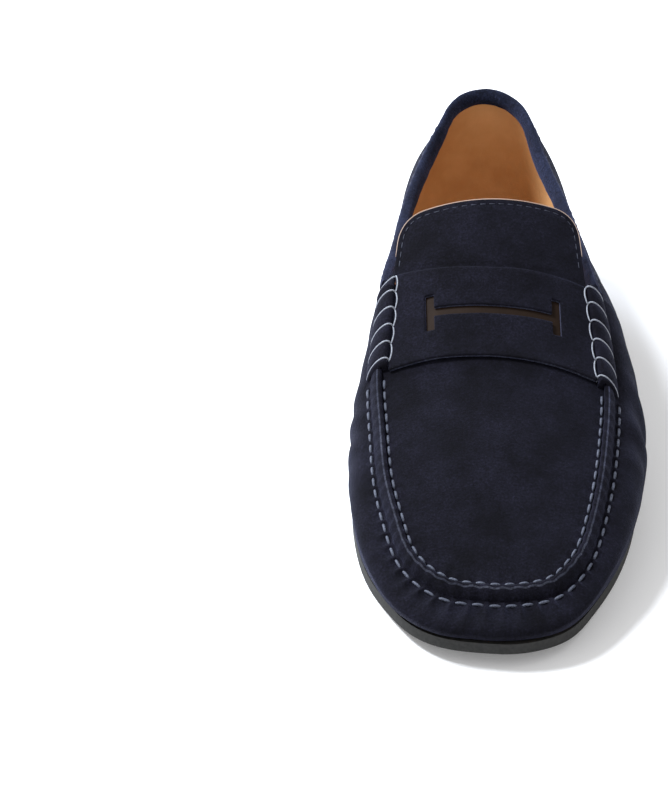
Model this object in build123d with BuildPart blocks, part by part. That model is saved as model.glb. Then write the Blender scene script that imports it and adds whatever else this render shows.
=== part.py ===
"""Left penny loafer, men's EU 42, as separate pieces. Millimetres, +Z up, toe towards -Y, wearer's outside at +X.

The upper stands on a ring of stations. Each station is a vertical plane square to the sole's edge, and holds a
profile that runs from the feather line on the sole, out over the bulge, and in to the top edge: the raised apron
seam in front, the topline behind. A sheet is a solid between two grids of points on those profiles. The apron,
strap and tongue lie on one arched instep surface and are cut out of it in plan.
"""
from build123d import *
import math
import os

import numpy as np

os.makedirs("parts", exist_ok=True)

# ---- driving dimensions ----
Y_TOE = -149.57  # where distances behind the toe tip start, so that the shoe's middle is at Y = 0
X_MID = 0.16  # moves the whole shoe onto the middle of its box
SUEDE = 1.4
STIFFENER = 0.7
LINING = 1.0
CHORD = 0.08  # each side, as a share of the profile: a layer's depth is square to this chord of it
AIR = 0.06  # between two layers that are glued in the real shoe
LINING_DEPTH = SUEDE + STIFFENER + 2 * AIR  # outside of the upper to the outside of the lining
OUTSOLE = 5.0
FOOT_GAP = 0.35  # from the outsole up to the feather line
SOLE_EDGE = 1.8  # how far the sole stands out past the feather line
RIDGE_HALF = 2.0  # half the width of the raised apron seam
RIDGE_RISE = 2.4  # its height above the apron
SHOULDER_DROP = 4.2  # the wall meets the seam this far below the apron
SHOULDER_FADE = [(140, 1.0), (158, 0.0)]  # and level with the topline behind the strap
ROLL_COVER = 1.2  # leather of the strap's rolled ends, over that seam
BINDING = 1.0
STRAP = 1.6
UNDERLAY = 0.6  # leather that shows through the strap's slot
THREAD = 0.45  # radius

# One line per station, from the toe tip round the outside to the heel, and back along the inside:
# feather line x, distance behind the toe, outward direction in degrees (0 is +X, 90 is the heel),
# top edge's distance inside the feather line, bulge outside it, bulge height above it, and the upper profile's arch:
# 1 ends level at the top edge, 0 runs straight.
STATIONS = [
    (-3.0, 3.1, -90, 15.1, 0.6, 2.0, 0.75),
    (11.0, 5.4, -77.7, 14.1, 0.7, 2.2, 0.75),
    (23.5, 13.8, -57.5, 11.2, 1.1, 4.0, 0.75),
    (32.3, 28.6, -30, 8.2, 1.8, 8.0, 0.75),
    (38.3, 43.0, -22, 8.4, 2.6, 11.0, 0.75),
    (45.0, 64.5, -13, 9.8, 3.2, 13.5, 0.75),
    (49.2, 88.5, -6, 10.2, 3.9, 15.0, 0.75),
    (50.6, 110.0, -1, 9.6, 4.3, 16.5, 0.7),
    (49.3, 132.0, 4, 9.0, 5.0, 18.0, 0.6),
    (46.3, 151.0, 7, 7.5, 5.8, 19.0, 0.5),
    (43.3, 166.5, 7, 5.6, 6.0, 20.0, 0.4),
    (39.6, 190.0, 6, 3.8, 5.4, 20.0, 0.2),
    (36.6, 222.0, 4, 4.9, 3.8, 19.0, 0.15),
    (34.6, 254.0, 12, 10.0, 2.6, 19.0, 0.15),
    (30.5, 274.5, 35, 11.0, 2.8, 20.0, 0.15),
    (19.0, 289.0, 66, 8.0, 3.2, 20.0, 0.15),
    (2.5, 293.5, 90, 3.5, 3.4, 20.0, 0.15),
    (-14.0, 289.0, 114, 8.0, 3.2, 20.0, 0.15),
    (-25.5, 274.5, 145, 10.5, 2.8, 20.0, 0.15),
    (-29.8, 254.0, 168, 6.9, 3.0, 19.0, 0.15),
    (-30.2, 222.0, 177, -1.4, 5.4, 20.0, 0.15),
    (-32.0, 190.0, 176, -4.8, 7.4, 22.0, 0.2),
    (-37.0, 165.0, 172, -3.8, 7.4, 22.0, 0.4),
    (-42.5, 143.0, 171, 0.6, 6.4, 20.0, 0.5),
    (-48.0, 120.0, 174, 3.6, 5.0, 18.0, 0.65),
    (-51.2, 95.0, 179, 7.4, 3.4, 16.0, 0.75),
    (-51.7, 70.0, 183, 9.3, 2.3, 13.5, 0.75),
    (-49.3, 48.5, 192, 10.7, 2.1, 11.0, 0.75),
    (-44.5, 32.0, 205, 10.5, 1.8, 7.0, 0.75),
    (-37.3, 17.5, 222, 13.0, 1.2, 4.0, 0.75),
    (-25.5, 7.6, 244, 14.5, 0.9, 2.4, 0.75),
    (-13.0, 4.2, 260, 15.0, 0.7, 2.0, 0.75),
]
SEAM_OUT = 9.2  # side seams, as places on the ring: the strap's rear corners
SEAM_IN = len(STATIONS) - 9.6
BACK = 16  # the place of the back seam
COUNT = len(STATIONS)

# Side views, as (distance behind the toe, height): the sole's top, the instep's middle line, and the topline.
SOLE_TOP = [(0, 10.6), (15, 8.6), (30, 7.0), (60, 5.3), (90, 5.0), (120, 5.6), (150, 8.0), (185, 12.2), (225, 15.2),
            (260, 16.0), (297, 16.4)]
INSTEP = [(0, 12.5), (10, 17.0), (24, 22.0), (68, 38.0), (118, 55.0), (152, 73.0), (181, 88.5), (200, 97.5)]
ARCH = [(0, 0.002), (24, 0.0022), (68, 0.0037), (118, 0.0052), (152, 0.0070), (200, 0.0076)]
TOPLINE = [(140, 60.0), (152, 61.0), (165, 61.3), (190, 61.0), (222, 63.0), (252, 68.0), (268, 73.0), (281, 77.3),
           (291, 79.3)]
TOE_FADE = [(0, 1.0), (25, 0.8), (60, 0.0)]
INSTEP_MID = -1.0  # x of the instep's highest line


# ---- curves ----
def smooth(points, at):
    """A monotone cubic through (place, value) points, read at one place."""
    xs, ys = zip(*points)
    slopes = [(ys[i + 1] - ys[i]) / (xs[i + 1] - xs[i]) for i in range(len(xs) - 1)]
    tangents = [slopes[0]] + [
        0.0 if a * b <= 0 else 2 * a * b / (a + b) for a, b in zip(slopes, slopes[1:])
    ] + [slopes[-1]]
    at = min(max(at, xs[0]), xs[-1])
    i = min(max(j for j, x in enumerate(xs) if x <= at), len(xs) - 2)
    h = xs[i + 1] - xs[i]
    t = (at - xs[i]) / h
    return (
        ys[i] * (1 + 2 * t) * (1 - t) ** 2
        + h * tangents[i] * t * (1 - t) ** 2
        + ys[i + 1] * t * t * (3 - 2 * t)
        + h * tangents[i + 1] * t * t * (t - 1)
    )


def ring_controls():
    """Control points of the closed cubic B-spline through the stations."""
    rows = np.array([
        (x, y, math.cos(math.radians(a)), math.sin(math.radians(a)), *rest) for x, y, a, *rest in STATIONS
    ])
    n = len(rows)
    matrix = np.zeros((n, n))
    for i in range(n):
        matrix[i, i] = 4 / 6
        matrix[i, (i + 1) % n] = matrix[i, i - 1] = 1 / 6
    return np.linalg.solve(matrix, rows)


RING = ring_controls()


def instep(x, y):
    """Height of the arched instep surface."""
    return smooth(INSTEP, y) - smooth(ARCH, y) * (x - INSTEP_MID) ** 2


class Station:
    """The upper's profile at a place on the ring. A profile point is (outwards from the feather line, height)."""

    def __init__(self, place):
        i = math.floor(place)
        t = place - i
        weights = ((1 - t) ** 3, 3 * t**3 - 6 * t**2 + 4, -3 * t**3 + 3 * t**2 + 3 * t + 1, t**3)
        row = sum(w / 6 * RING[(i + k - 1) % len(RING)] for k, w in enumerate(weights))
        self.x, self.y, dx, dy, self.inset, self.bulge, self.bulge_rise, self.arch = row
        size = math.hypot(dx, dy)
        self.dx, self.dy = dx / size, dy / size
        self.foot = smooth(SOLE_TOP, self.y) + FOOT_GAP
        x, y = self.plan(-self.inset)
        self.edge = instep(x, y) if y < 152 else smooth(TOPLINE, y)
        fade = smooth(SHOULDER_FADE, y)
        self.top = (RIDGE_HALF * fade - self.inset, self.edge - SHOULDER_DROP * fade)

    def plan(self, out):
        return self.x + out * self.dx, self.y + out * self.dy

    def point(self, v, depth=0.0):
        """v runs from 0 at the feather line to 1 at the top edge; depth is inwards from the outside."""
        low = 0.28
        belly = self.foot + self.bulge_rise

        def surface(v):
            if v < low:
                turn = math.pi / 2 * v / low
                return self.bulge * math.sin(turn), self.foot + self.bulge_rise * (1 - math.cos(turn))
            t = (v - low) / (1 - low)
            return (
                self.top[0] + (self.bulge - self.top[0]) * (1 - t * t),
                belly + (self.top[1] - belly) * t * (1 + self.arch - self.arch * t),
            )

        (r0, z0), (r1, z1) = surface(max(v - CHORD, 0.0)), surface(min(v + CHORD, 1.0))
        size = math.hypot(r1 - r0, z1 - z0)
        r, z = surface(v)
        return r - depth * (z1 - z0) / size, z + depth * (r1 - r0) / size

    def place(self, r, z):
        """A profile point as a point of the shoe."""
        x, y = self.plan(r)
        return Vector(x - X_MID, y + Y_TOE, z)

    def apron(self, r):
        """Height of the instep surface at a distance outwards from the feather line."""
        return instep(*self.plan(r))


def steps(first, last, count):
    return [first + (last - first) * i / (count - 1) for i in range(count)]


def sheet_between(outer, inner, degree=1):
    """Solid between two grids of points: a smooth face through each, and ruled faces round the edge."""
    front = Face.make_surface_from_array_of_points(outer, min_deg=degree)
    rear = Face.make_surface_from_array_of_points(inner, min_deg=degree)
    faces = [front, rear]
    for edge in front.edges():
        mate = min(rear.edges(), key=lambda e: (e.center() - edge.center()).length)
        faces.append(Face.make_surface_from_curves(edge, mate))
    return Solid(Shell(faces))


def upper_sheet(first, last, outer, inner, low, v1):
    """One layer of the upper between two depths, from one place on the ring to another; low lists its lower edge."""
    count = max(9, round(abs(last - first) * 4))
    grids = [
        [
            [station.place(*station.point(v, depth)) for v in steps(smooth(low, station.y), v1, 12)]
            for station in map(Station, steps(first, last, count))
        ]
        for depth in (outer, inner)
    ]
    return sheet_between(*grids)


def profile_sheet(first, last, count, profile, degree=1):
    """Solid swept round the ring, from a function that gives a station's outer and inner profile points."""
    outer, inner = [], []
    for place in steps(first, last, count):
        station = Station(place)
        out, back = profile(station)
        outer.append([station.place(*point) for point in out])
        inner.append([station.place(*point) for point in back])
    return sheet_between(outer, inner, degree)


def instep_sheet(low, high, y0, y1, half_width=52.0):
    """Sheet between two heights above the instep surface, from y0 to y1 behind the toe."""
    grids = [
        [
            [(x - X_MID, y + Y_TOE, instep(x, y) + height) for x in steps(-half_width, half_width, 15)]
            for y in steps(y0, y1, max(8, round((y1 - y0) / 6)))
        ]
        for height in (high, low)
    ]
    return sheet_between(*[[[Vector(*point) for point in row] for row in grid] for grid in grids])


def arc_points(start, top, stop, count=7):
    """Points on a half ellipse from start over a top height to stop; start and stop may differ in height."""
    points = []
    for t in steps(0, math.pi, count):
        base = start[1] + (stop[1] - start[1]) * (1 - math.cos(t)) / 2
        lift = top - (start[1] + stop[1]) / 2
        points.append((start[0] + (stop[0] - start[0]) * (1 - math.cos(t)) / 2, base + lift * math.sin(t)))
    return points


def side_band(top_gap, bottom_gap, y0, y1, count=12):
    """Side view of a band that follows the sole's top line, from y0 to y1 behind the toe."""
    ys = steps(y0, y1, count)
    top = [(y + Y_TOE, smooth(SOLE_TOP, y) + top_gap) for y in ys]
    bottom = [(y + Y_TOE, smooth(SOLE_TOP, y) + bottom_gap) for y in ys]
    with BuildSketch(Plane.YZ) as band:
        with BuildLine():
            upper = Spline(*top)
            lower = Spline(*reversed(bottom))
            Line(upper @ 1, lower @ 0)
            Line(lower @ 1, upper @ 0)
        make_face()
    return band.sketch


def ring_outline(out, toe=0.0):
    """Plan of the shoe's bottom, at a distance outside the feather line, and further in at the toe."""
    points = []
    for station in map(Station, range(COUNT)):
        x, y = station.plan(out - toe * smooth(TOE_FADE, station.y))
        points.append((x - X_MID, y + Y_TOE))
    with BuildSketch() as outline:
        with BuildLine():
            Spline(*points, periodic=True)
        make_face()
    return outline.sketch


def inside_seam(inset):
    """Plan of the apron and strap, at a distance inside the top edge."""
    points = []
    for place in steps(SEAM_IN - COUNT - 0.45, SEAM_OUT + 0.45, 37):
        station = Station(place)
        x, y = station.plan(-station.inset - inset)
        points.append((x - X_MID, y + Y_TOE))
    with BuildSketch() as outline:
        with BuildLine():
            edge = Spline(*points)
            Line(edge @ 1, edge @ 0)
        make_face()
    return outline.sketch


def plan_points(points):
    return [(x - X_MID, y + Y_TOE) for x, y in points]


finished = []


def finish(built, name):
    """Labels a finished piece and writes it."""
    built.part.label = name
    export_step(built.part, f"parts/{name}.step")
    finished.append(name)


# ---- bottom unit ----
TREAD_DEPTH = 1.2
TREAD_PITCH = 9.0
HEEL_BREAST = 224.0
HEEL_TIP = 4.5
BOARD_IN = -4.2  # the insole board's edge, from the feather line
TOE_IN = 9.0  # and further in at the low toe
NAILS = [(-14, 240), (16, 240), (-16, 262), (18, 262), (2, 280)]
NAIL = 1.0  # radius
NAIL_LOW = 7.0
NAIL_HIGH = 19.3
nail_places = plan_points(NAILS)

with BuildPart() as outsole:
    extrude(ring_outline(SOLE_EDGE), amount=60)
    extrude(side_band(0.0, -OUTSOLE, -3, 300), amount=70, both=True, mode=Mode.INTERSECT)
    for row in range(8):
        y = 48.0 + row * TREAD_PITCH
        with BuildSketch(Plane.XY.offset(smooth(SOLE_TOP, y) - OUTSOLE - 1.0)):
            with Locations((0, y + Y_TOE)):
                Rectangle(66, 2.0)
        extrude(amount=1.0 + TREAD_DEPTH, mode=Mode.SUBTRACT)
    with Locations(*[(x, y, NAIL_HIGH) for x, y in nail_places]):
        Hole(NAIL + AIR, depth=NAIL_HIGH)
finish(outsole, "outsole")

with BuildPart() as heel_lift:
    extrude(ring_outline(SOLE_EDGE - 0.2), amount=60)
    extrude(side_band(-OUTSOLE - AIR, -OUTSOLE - 30, HEEL_BREAST, 300), amount=70, both=True, mode=Mode.INTERSECT)
    split(bisect_by=Plane.XY.offset(HEEL_TIP), keep=Keep.TOP)
    with Locations(*[(x, y, NAIL_HIGH) for x, y in nail_places]):
        Hole(NAIL + AIR, depth=NAIL_HIGH - NAIL_LOW + AIR)
finish(heel_lift, "heel_lift")

with BuildPart() as heel_top_piece:
    extrude(ring_outline(SOLE_EDGE - 0.6), amount=HEEL_TIP - AIR)
    split(bisect_by=Plane.XZ.offset(-HEEL_BREAST - Y_TOE), keep=Keep.BOTTOM)
finish(heel_top_piece, "heel_top_piece")

with BuildPart() as insole_board:
    extrude(ring_outline(BOARD_IN, TOE_IN), amount=60)
    extrude(side_band(3.6, 1.6, -3, 300), amount=70, both=True, mode=Mode.INTERSECT)
    with Locations(*[(x, y, NAIL_HIGH + 10) for x, y in nail_places]):
        Hole(NAIL + AIR, depth=30)
finish(insole_board, "insole_board")

with BuildPart() as heel_nails:
    with Locations(*[(x, y, (NAIL_LOW + NAIL_HIGH) / 2) for x, y in nail_places]):
        Cylinder(NAIL, NAIL_HIGH - NAIL_LOW)
finish(heel_nails, "heel_nails")

with BuildPart() as forefoot_filler:
    extrude(ring_outline(BOARD_IN - 3, TOE_IN), amount=60)
    extrude(side_band(1.35, 0.15, 14, 150), amount=70, both=True, mode=Mode.INTERSECT)
finish(forefoot_filler, "forefoot_filler")

with BuildPart() as steel_shank:
    extrude(side_band(1.3, 0.3, 158, 230), amount=7, both=True)
finish(steel_shank, "steel_shank")

with BuildPart() as heel_pad:
    extrude(ring_outline(BOARD_IN - 6), amount=60)
    extrude(side_band(6.6, 3.8, 230, 300), amount=70, both=True, mode=Mode.INTERSECT)
finish(heel_pad, "heel_pad")

with BuildPart() as sock_lining:
    extrude(ring_outline(BOARD_IN - 1.2, TOE_IN), amount=60)
    extrude(side_band(4.9, 3.8, -3, 228), amount=70, both=True, mode=Mode.INTERSECT)
finish(sock_lining, "sock_lining")

# ---- the upper's outside ----
FOOT_V = 0.05  # the sheets start just above the sole
FOOT_LOW = [(0, FOOT_V), (300, FOOT_V)]  # lower edges as (distance behind the toe, share of the profile)
LINING_LOW = [(0, 0.5), (30, 0.42), (90, 0.1)]  # the inner layers stop higher where the toe is low
PUFF_LOW = [(0, 0.5), (60, 0.4)]
SEAM_V = 0.97  # the wall's plain part ends here, and its raised edge begins
LINING_TOP = 0.9
QUARTER_TOP = 0.985
BINDING_OUT = 0.935  # the binding's lower edges, outside and inside
BINDING_IN = 0.955
SHEETS = LINING_DEPTH + LINING  # all the layers at the topline


def wall_profile(station):
    """The moccasin wall, with the raised seam along its top edge."""
    edge = -station.inset
    vs = steps(FOOT_V, SEAM_V, 10)
    stop = (edge - RIDGE_HALF, station.apron(edge - RIDGE_HALF))
    ridge = arc_points(station.top, station.edge + RIDGE_RISE, stop)
    inside = [station.point(v, SUEDE) for v in vs]
    low = inside[-1]
    under = [
        (low[0] + (stop[0] - low[0]) * w, low[1] + (stop[1] - SUEDE - low[1]) * w)
        for w in steps(0, 1, len(ridge) + 1)[1:]
    ]
    return [station.point(v) for v in vs] + ridge, inside + under


with BuildPart() as vamp_wall:
    add(profile_sheet(SEAM_IN - COUNT, SEAM_OUT, 49, wall_profile, degree=3))
finish(vamp_wall, "vamp_wall")

QUARTERS = {"lateral": (SEAM_OUT + 0.02, BACK - 0.01), "medial": (BACK + 0.01, SEAM_IN - 0.02)}
for side, (first, last) in QUARTERS.items():
    with BuildPart() as quarter:
        add(upper_sheet(first, last, 0.0, SUEDE, FOOT_LOW, QUARTER_TOP))
    finish(quarter, f"quarter_{side}")
    with BuildPart() as quarter_lining:
        add(upper_sheet(first, last, LINING_DEPTH, SHEETS, LINING_LOW, QUARTER_TOP))
    finish(quarter_lining, f"quarter_lining_{side}")

with BuildPart() as back_strip:
    add(upper_sheet(BACK - 0.3, BACK + 0.3, -1.0, -AIR, LINING_LOW, BINDING_OUT - 0.01))
finish(back_strip, "back_strip")


def binding_profile(station):
    """The folded binding over the topline: two legs and a rounded top."""
    legs = []
    for out, back, rise in ((-BINDING, SHEETS + BINDING, 2.2), (-AIR, SHEETS + AIR, 1.0)):
        outside = [station.point(v, out) for v in steps(BINDING_OUT, 1.0, 5)]
        inside = [station.point(v, back) for v in steps(1.0, BINDING_IN, 5)]
        top = max(outside[-1][1], inside[0][1]) + rise
        legs.append(outside[:-1] + arc_points(outside[-1], top, inside[0], 9) + inside[1:])
    return legs


with BuildPart() as topline_binding:
    add(profile_sheet(SEAM_OUT + 0.1, SEAM_IN - 0.1, 61, binding_profile, degree=3))
finish(topline_binding, "topline_binding")

# ---- stiffeners and the front lining ----
STIFF_OUT = SUEDE + AIR
STIFF_IN = STIFF_OUT + STIFFENER

with BuildPart() as heel_counter:
    add(upper_sheet(BACK - 3.6, BACK + 3.6, STIFF_OUT, STIFF_IN, LINING_LOW, 0.78))
finish(heel_counter, "heel_counter")

with BuildPart() as toe_puff:
    add(upper_sheet(-2.6, 2.6, STIFF_OUT, STIFF_IN, PUFF_LOW, 0.8))
finish(toe_puff, "toe_puff")

with BuildPart() as vamp_lining:
    add(upper_sheet(SEAM_IN - COUNT, SEAM_OUT, LINING_DEPTH, SHEETS, LINING_LOW, LINING_TOP))
finish(vamp_lining, "vamp_lining")

# ---- apron, strap and tongue ----
APRON_REAR = 148.5
STRAP_LOW = 2 * AIR + UNDERLAY
ROLL_GAP = 0.4
ROLL_LIFT = 0.05  # the rolled ends stop this far above the wall
STRAP_FRONT_EDGE = [(-60, 117.6), (-28, 117.6), (-3, 116.3), (26, 113.8), (60, 106.5)]
STRAP_REAR_EDGE = [(-60, 160.5), (-24, 153.2), (0, 150.5), (24, 150.5), (60, 149.6)]
SLOT = 3.2
SLIT = 13.7
SLIT_PLACES = [(-24.6, 135.9), (22.6, 134.0)]
SLOT_LINE = [(-24.6, 134.6), (-1, 132.9), (22.6, 132.1)]
TONGUE_GAP = 0.45
TONGUE_TOP = 0.4
TONGUE_CORNERS = [(-38.0, 150.0), (-34.5, 178.4), (32.4, 179.8), (36.0, 145.0)]
TONGUE_ROUND = 9.0


def moved(points, dy):
    return [(x, y + dy) for x, y in points]


def across(front_edge, rear_edge):
    """Plan of a band across the shoe between two edges."""
    with BuildSketch() as band:
        with BuildLine():
            front = Spline(*plan_points(front_edge))
            rear = Spline(*plan_points(rear_edge))
            Line(front @ 0, rear @ 0)
            Line(front @ 1, rear @ 1)
        make_face()
    return band.sketch


for name, low, high, inset in (
    ("apron", -SUEDE, 0.0, RIDGE_HALF + AIR),
    ("apron_lining", -SUEDE - AIR - LINING, -SUEDE - AIR, RIDGE_HALF + 0.8),
):
    with BuildPart() as plug:
        add(instep_sheet(low, high, 8, 154))
        with BuildSketch() as plug_plan:
            add(inside_seam(inset))
            with Locations((0, APRON_REAR + Y_TOE + 50)):
                Rectangle(200, 100, mode=Mode.SUBTRACT)
        extrude(amount=120, mode=Mode.INTERSECT)
    finish(plug, name)

with BuildPart() as saddle_strap:
    add(instep_sheet(STRAP_LOW, STRAP_LOW + STRAP, 100, 166))
    with BuildSketch() as strap_plan:
        add(across(STRAP_FRONT_EDGE, STRAP_REAR_EDGE))
        add(inside_seam(RIDGE_HALF + ROLL_GAP + ROLL_COVER + THREAD + 4 * AIR), mode=Mode.INTERSECT)
    extrude(amount=120, mode=Mode.INTERSECT)
    with BuildSketch() as slot_plan:
        add(across(SLOT_LINE, moved(SLOT_LINE, SLOT)))
        with Locations(*plan_points(SLIT_PLACES)):
            Rectangle(SLOT, SLIT)
    extrude(amount=120, mode=Mode.SUBTRACT)
finish(saddle_strap, "saddle_strap")

with BuildPart() as strap_underlay:
    add(instep_sheet(AIR, AIR + UNDERLAY, 110, 154))
    with BuildSketch() as underlay_plan:
        with Locations((-1, 134.8 + Y_TOE)):
            RectangleRounded(60, 22, 3)
    extrude(amount=120, mode=Mode.INTERSECT)
finish(strap_underlay, "strap_underlay")


def cap_profile(gap, cover):
    """Profile function of a cap over the raised seam, a gap away from it."""

    def profile(station):
        caps = []
        edge = -station.inset
        inside = edge - RIDGE_HALF - gap
        low = max(station.apron(inside), station.apron(inside - cover)) + 2 * AIR
        for extra in (gap + cover, gap):
            start = (station.top[0] + extra, station.top[1] + ROLL_LIFT)
            stop = (edge - RIDGE_HALF - extra, low)
            caps.append(arc_points(start, station.edge + RIDGE_RISE + extra, stop))
        return caps

    return profile


ROLL_PLACES = {"lateral": (7.05, 9.0), "medial": (COUNT - 9.55, COUNT - 8.0)}
for side, (first, last) in ROLL_PLACES.items():
    with BuildPart() as roll:
        add(profile_sheet(first, last, 13, cap_profile(ROLL_GAP, ROLL_COVER)))
    finish(roll, f"strap_roll_{side}")
    with BuildPart() as whip_stitches:
        for place in steps(first + 0.1, last - 0.1, 6):
            half = THREAD / 24  # a place is about 24 mm of the ring
            add(profile_sheet(place - half, place + half, 3, cap_profile(ROLL_GAP + ROLL_COVER + 2 * AIR, THREAD)))
    finish(whip_stitches, f"roll_stitches_{side}")

with BuildSketch() as tongue_plan:
    with BuildLine():
        Polyline(*plan_points(TONGUE_CORNERS), close=True)
    make_face()
    fillet(tongue_plan.vertices().sort_by(Axis.Y)[-2:], TONGUE_ROUND)
    add(across(moved(STRAP_REAR_EDGE, -60), moved(STRAP_REAR_EDGE, TONGUE_GAP)), mode=Mode.SUBTRACT)

for name, low, high in (
    ("tongue", TONGUE_TOP - SUEDE, TONGUE_TOP),
    ("tongue_lining", TONGUE_TOP - SUEDE - AIR - LINING, TONGUE_TOP - SUEDE - AIR),
):
    with BuildPart() as flap:
        add(instep_sheet(low, high, 140, 190))
        extrude(tongue_plan.sketch, amount=120, mode=Mode.INTERSECT)
    finish(flap, name)

# ---- threads ----
DASH = 3.6  # the length of a seam stitch that shows
STITCH_LIFT = THREAD + 0.1


def dashes(centres):
    """Short lengths of thread, each along the line between its neighbours."""
    for before, here, after in zip(centres, centres[1:], centres[2:]):
        along = (after - before).normalized()
        with Locations(Plane(origin=here, x_dir=along.cross(Vector(0, 0, 1)), z_dir=along)):
            Cylinder(THREAD, DASH)


SEAM_STITCHES = 46


def evenly(first, last, count):
    """Stations an equal distance apart along the top edge."""
    stations = [Station(place) for place in steps(first, last, 400)]
    ends = [station.plan(-station.inset) for station in stations]
    walked = np.concatenate([[0], np.cumsum([math.dist(a, b) for a, b in zip(ends, ends[1:])])])
    return [stations[int(np.searchsorted(walked, at))] for at in steps(0, walked[-1] * 0.9999, count)]


seam_stations = evenly(ROLL_PLACES["medial"][1] - COUNT, ROLL_PLACES["lateral"][0], SEAM_STITCHES)

with BuildPart() as seam_thread_inner:
    rows = [(s, -s.inset - RIDGE_HALF - 1.2) for s in seam_stations]
    dashes([s.place(r, s.apron(r) + STITCH_LIFT) for s, r in rows])
finish(seam_thread_inner, "seam_thread_inner")

with BuildPart() as seam_thread_outer:
    dashes([s.place(*s.point(SEAM_V - 0.05, -STITCH_LIFT)) for s in seam_stations])
finish(seam_thread_outer, "seam_thread_outer")

BINDING_STITCHES = 60
with BuildPart() as binding_thread:
    rear = evenly(SEAM_OUT + 0.4, SEAM_IN - 0.4, BINDING_STITCHES)
    dashes([s.place(*s.point(BINDING_OUT + 0.012, -BINDING - STITCH_LIFT)) for s in rear])
finish(binding_thread, "binding_thread")

print(len(finished), "pieces")
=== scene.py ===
"""Looks for the left penny loafer: suede, leather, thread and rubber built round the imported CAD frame.

Shapes are worked out in millimetres and scaled to metres when a mesh is made. The upper stands on a ring of
stations, as in the CAD model: a place on the ring is a number, 0 at the toe tip, rising round the wearer's
outside (+X) to 16 at the back seam and on round the inside to 32. Plan points are measured from the toe tip,
y backwards, and the last step shifts them into the CAD's frame. A profile point is r, its distance outside
the feather line, where the upper meets the sole, and z, its height.
"""

import math
from types import SimpleNamespace

import bpy
import numpy as np
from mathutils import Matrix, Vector
from mathutils.geometry import delaunay_2d_cdt
from mathutils.noise import noise

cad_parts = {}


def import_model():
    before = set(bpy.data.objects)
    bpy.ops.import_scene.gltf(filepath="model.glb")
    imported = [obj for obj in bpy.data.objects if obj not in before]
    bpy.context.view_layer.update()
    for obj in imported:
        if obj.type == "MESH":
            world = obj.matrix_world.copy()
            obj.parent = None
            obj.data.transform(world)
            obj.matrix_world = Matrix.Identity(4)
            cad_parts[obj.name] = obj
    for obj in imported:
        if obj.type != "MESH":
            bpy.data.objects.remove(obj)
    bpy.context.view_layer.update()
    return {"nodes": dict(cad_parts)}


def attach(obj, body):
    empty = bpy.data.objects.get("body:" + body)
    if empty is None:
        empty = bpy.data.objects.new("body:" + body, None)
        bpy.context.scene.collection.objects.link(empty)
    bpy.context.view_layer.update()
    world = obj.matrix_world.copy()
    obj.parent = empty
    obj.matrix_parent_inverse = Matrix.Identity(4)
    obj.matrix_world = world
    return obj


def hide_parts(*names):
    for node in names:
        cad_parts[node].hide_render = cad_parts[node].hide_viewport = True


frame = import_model()
MM = 0.001

# ---- driving dimensions: the CAD model's, but for the ridge of the apron seam, which is a little lower ----
Y_TOE = -149.57
X_MID = 0.16
SUEDE = 1.4
LINING_DEPTH = 2.22
LINING = 1.0
SHEETS = LINING_DEPTH + LINING
FOOT_GAP = 0.35
RIDGE_HALF = 2.0
RIDGE_RISE = [(0, 1.5), (35, 1.7), (90, 2.3)]
SHOULDER_DROP = 2.9
SHOULDER_FADE = [(140, 1.0), (158, 0.0)]
BELLY_SHARE = 0.28
CHORD = 0.08

# places on the ring, and the rough distance in millimetres between two whole ones
COUNT = 32
BACK = 16
SEAM_OUT = 9.2
SEAM_IN = 22.4
ROLL_OUT = (7.05, 9.0)
ROLL_IN = (22.45 - COUNT, 24.0 - COUNT)
STATION_GAP = 24

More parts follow.
